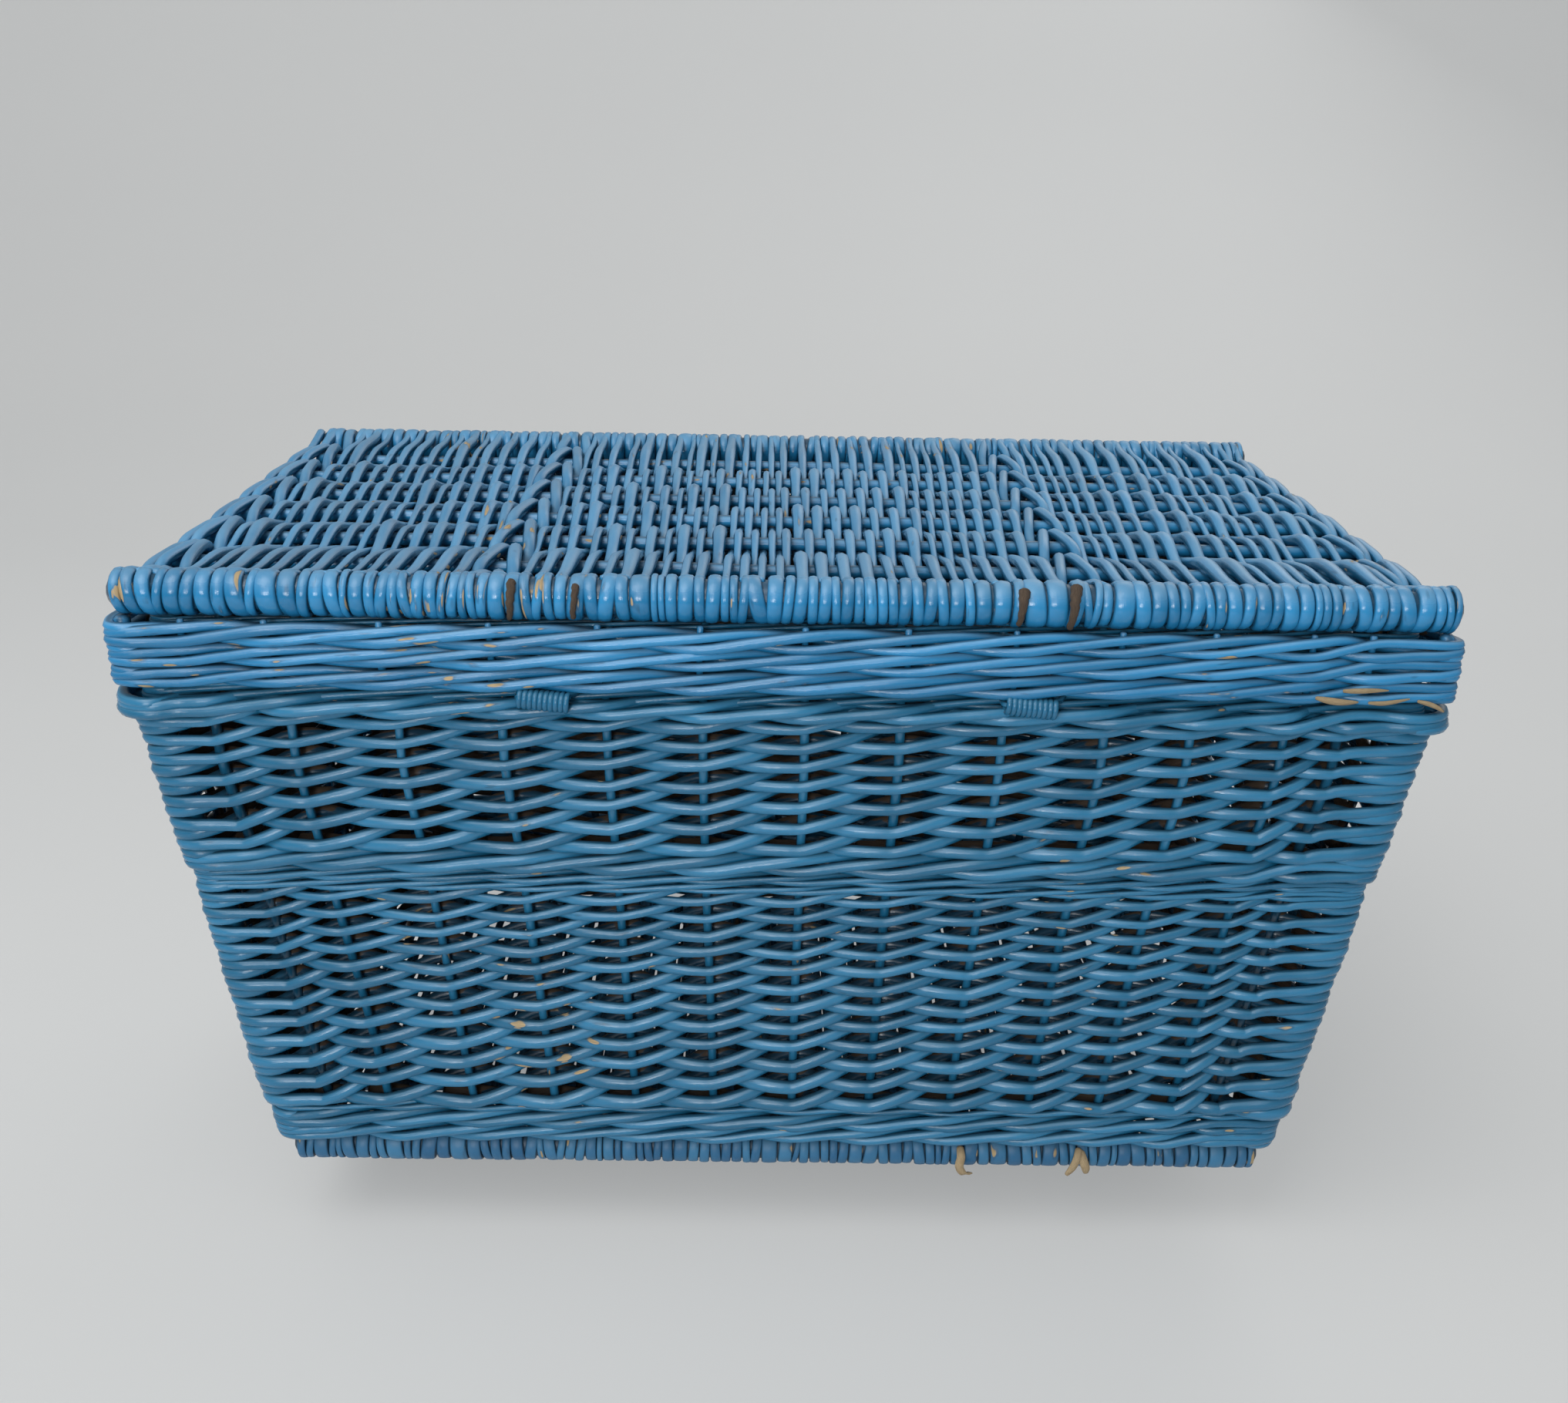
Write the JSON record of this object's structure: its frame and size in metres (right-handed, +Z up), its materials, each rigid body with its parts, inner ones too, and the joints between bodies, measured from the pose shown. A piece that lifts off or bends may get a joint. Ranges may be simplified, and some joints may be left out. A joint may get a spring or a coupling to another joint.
{
  "type": "wicker trunk",
  "caption": "Low rectangular woven willow trunk with a hinged skirted lid, open weave walls, a ledge under the lid and two catch loops, for papers and keepsakes.",
  "frame": {"origin": "on the floor, under the middle of the trunk", "axes": "+X along the trunk's length to the viewer's right, +Y from the front with the catch loops to the back with the hinges, +Z up"},
  "size_m": [0.6088, 0.358, 0.343],
  "materials": {
    "painted_willow": "old blue oil paint over willow rods, glossy on the rounds, dusty on the lid, worn through to tan wood at the corners",
    "bare_willow": "unpainted weathered willow, dark and dry"
  },
  "bodies": {
    "basket": {"base_front_rail": "painted_willow", "base_back_rail": "painted_willow", "base_sticks": "painted_willow", "base_weave": "painted_willow", "front_stakes": "painted_willow", "back_stakes": "painted_willow", "left_stakes": "painted_willow", "right_stakes": "painted_willow", "front_left_post": "painted_willow", "front_right_post": "painted_willow", "back_left_post": "painted_willow", "back_right_post": "painted_willow", "upset_wale": "painted_willow", "middle_wale": "painted_willow", "ledge_wale": "painted_willow", "rim_band": "painted_willow", "rim_cap": "painted_willow", "left_hinge_loop": "painted_willow", "right_hinge_loop": "painted_willow", "left_catch_loop": "painted_willow", "right_catch_loop": "painted_willow", "front_lower_weave": "painted_willow", "back_lower_weave": "painted_willow", "left_lower_weave": "painted_willow", "right_lower_weave": "painted_willow", "front_upper_weave": "painted_willow", "back_upper_weave": "painted_willow", "left_upper_weave": "painted_willow", "right_upper_weave": "painted_willow"},
    "lid": {"lid_front_rail": "painted_willow", "lid_back_rail": "painted_willow", "lid_sticks": "painted_willow", "lid_weave": "painted_willow", "left_end_cords": "painted_willow", "right_end_cords": "painted_willow", "left_inner_cords": "painted_willow", "right_inner_cords": "painted_willow", "lid_posts": "painted_willow", "skirt_backing": "painted_willow", "skirt_edge": "painted_willow", "lid_hinge_pin": "painted_willow", "hasp_stubs": "bare_willow", "front_skirt_stakes": "painted_willow", "back_skirt_stakes": "painted_willow", "left_skirt_stakes": "painted_willow", "right_skirt_stakes": "painted_willow", "front_skirt_wale": "painted_willow", "back_skirt_wale": "painted_willow", "left_skirt_wale": "painted_willow", "right_skirt_wale": "painted_willow"}
  },
  "joints": [
    {"name": "lid_hinge", "type": "hinge", "parent": "basket", "child": "lid", "pos_m": [0, 0.1745, 0.2945], "axis": [-1, 0, 0], "range_deg": [0, 115]}
  ]
}
